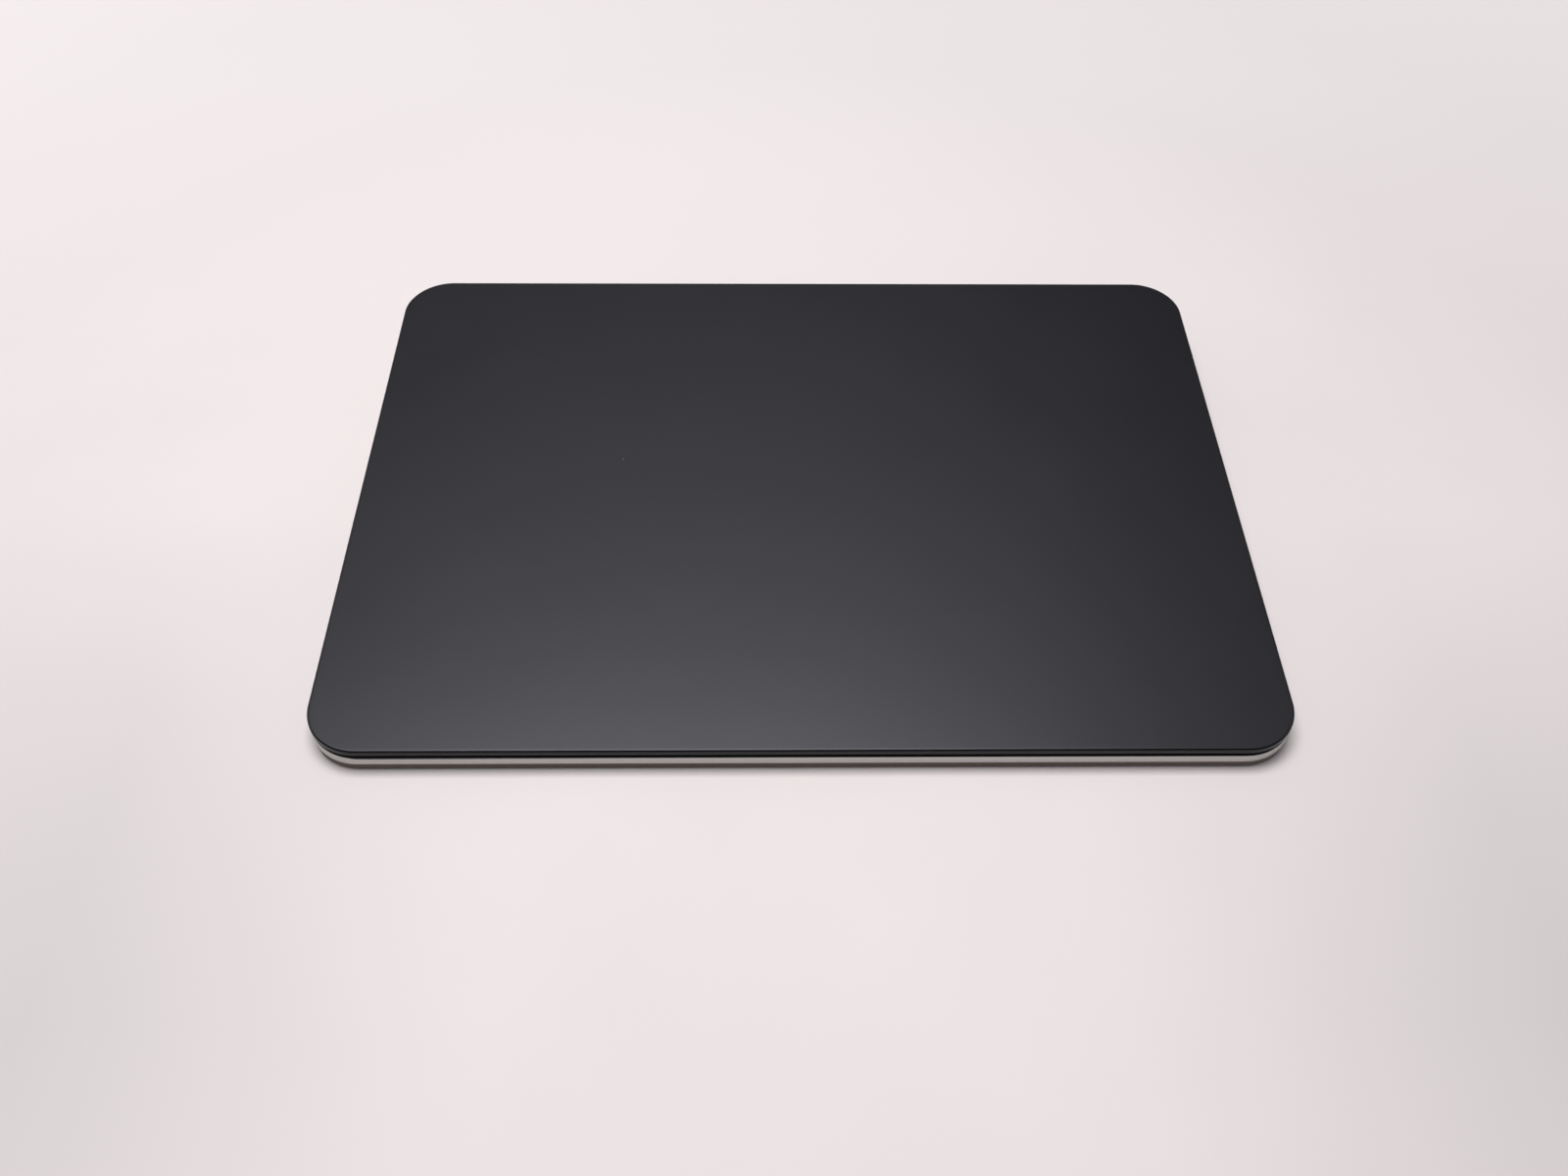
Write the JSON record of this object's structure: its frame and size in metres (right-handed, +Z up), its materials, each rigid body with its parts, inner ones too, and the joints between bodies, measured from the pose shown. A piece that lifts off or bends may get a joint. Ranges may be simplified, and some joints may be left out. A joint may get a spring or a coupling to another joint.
{
  "type": "trackpad",
  "caption": "Wedge-shaped desk trackpad: a black glass touch plate that presses and vibrates on flexures over a machined aluminium tray, with a rear charging port and slide switch.",
  "frame": {"origin": "on the desk under the middle of the plan outline", "axes": "+X to the user's right along the wide side, +Y to the rear (the thick side), +Z up"},
  "size_m": [0.16, 0.115, 0.0109],
  "materials": {
    "aluminium": "fine bead-blasted, clear anodised",
    "black_glass": "satin etched, opaque black",
    "adhesive": "matt film",
    "black_board": "satin solder mask",
    "steel": "stamped, plain",
    "lamination": "oxidised electrical steel",
    "copper": "enamelled wire",
    "gel": "soft translucent gel",
    "foot_rubber": "matt moulded rubber",
    "foil": "laminated pouch foil",
    "flex": "amber polyimide",
    "chip": "moulded package",
    "socket_plastic": "moulded nylon",
    "gold": "gold plated",
    "port_steel": "drawn stainless steel",
    "black_plastic": "fine moulded",
    "grey_plastic": "fine moulded, silver grey",
    "indicator": "printed green film"
  },
  "bodies": {
    "case": {"base_case": "aluminium", "foot_front_left": "foot_rubber", "foot_front_right": "foot_rubber", "foot_rear_left": "foot_rubber", "foot_rear_right": "foot_rubber", "gel_pad_front_left": "gel", "gel_pad_front_right": "gel", "gel_pad_rear_left": "gel", "gel_pad_rear_right": "gel", "battery_cell": "foil", "battery_adhesive": "adhesive", "battery_board": "black_board", "battery_lead": "flex", "main_board": "black_board", "processor_shield": "steel", "radio_shield": "steel", "board_chips": "chip", "battery_socket": "socket_plastic", "sensor_socket": "socket_plastic", "actuator_socket": "socket_plastic", "board_screws": "steel", "sensor_flex": "flex", "antenna_flex": "flex", "actuator_flex": "flex", "actuator_bracket": "steel", "actuator_core": "lamination", "actuator_coil_1": "copper", "actuator_coil_2": "copper", "actuator_coil_3": "copper", "actuator_coil_4": "copper", "actuator_screws": "steel", "port_collar": "black_plastic", "port_shell": "port_steel", "port_tongue": "black_plastic", "port_contacts": "gold", "port_bracket": "steel", "port_screws": "steel", "switch_guide": "black_plastic", "switch_housing": "steel"},
    "suspension": {"flexure_front_left": "steel", "flexure_front_right": "steel", "flexure_rear_left": "steel", "flexure_rear_right": "steel", "strain_gauge_front_left": "flex", "strain_gauge_front_right": "flex", "strain_gauge_rear_left": "flex", "strain_gauge_rear_right": "flex"},
    "touch_plate": {"glass_plate": "black_glass", "bonding_sheet": "adhesive", "sensor_board": "black_board", "touch_controllers": "chip", "sensor_connector": "socket_plastic", "attraction_plate": "lamination", "stiffener_frame": "steel", "flexure_spacers": "steel", "flexure_screws": "steel"},
    "power_switch": {"switch_slider": "grey_plastic", "switch_indicator": "indicator", "switch_lever": "black_plastic"}
  },
  "joints": [
    {"name": "haptic_shake", "type": "slide", "parent": "case", "child": "suspension", "axis": [1, 0, 0], "range_m": [-0.00015, 0.00015], "stiffness_N_per_m": 30000, "deforming": ["gel_pad_front_left", "gel_pad_front_right", "gel_pad_rear_left", "gel_pad_rear_right"]},
    {"name": "plate_press", "type": "slide", "parent": "suspension", "child": "touch_plate", "axis": [0, 0.0521, -0.9986], "range_m": [0, 0.0002], "stiffness_N_per_m": 30000, "springref_m": -0.00005, "deforming": ["flexure_front_left", "flexure_front_right", "flexure_rear_left", "flexure_rear_right", "sensor_flex"]},
    {"name": "power_slide", "type": "slide", "parent": "case", "child": "power_switch", "axis": [1, 0, 0], "range_m": [0, 0.0028]}
  ]
}
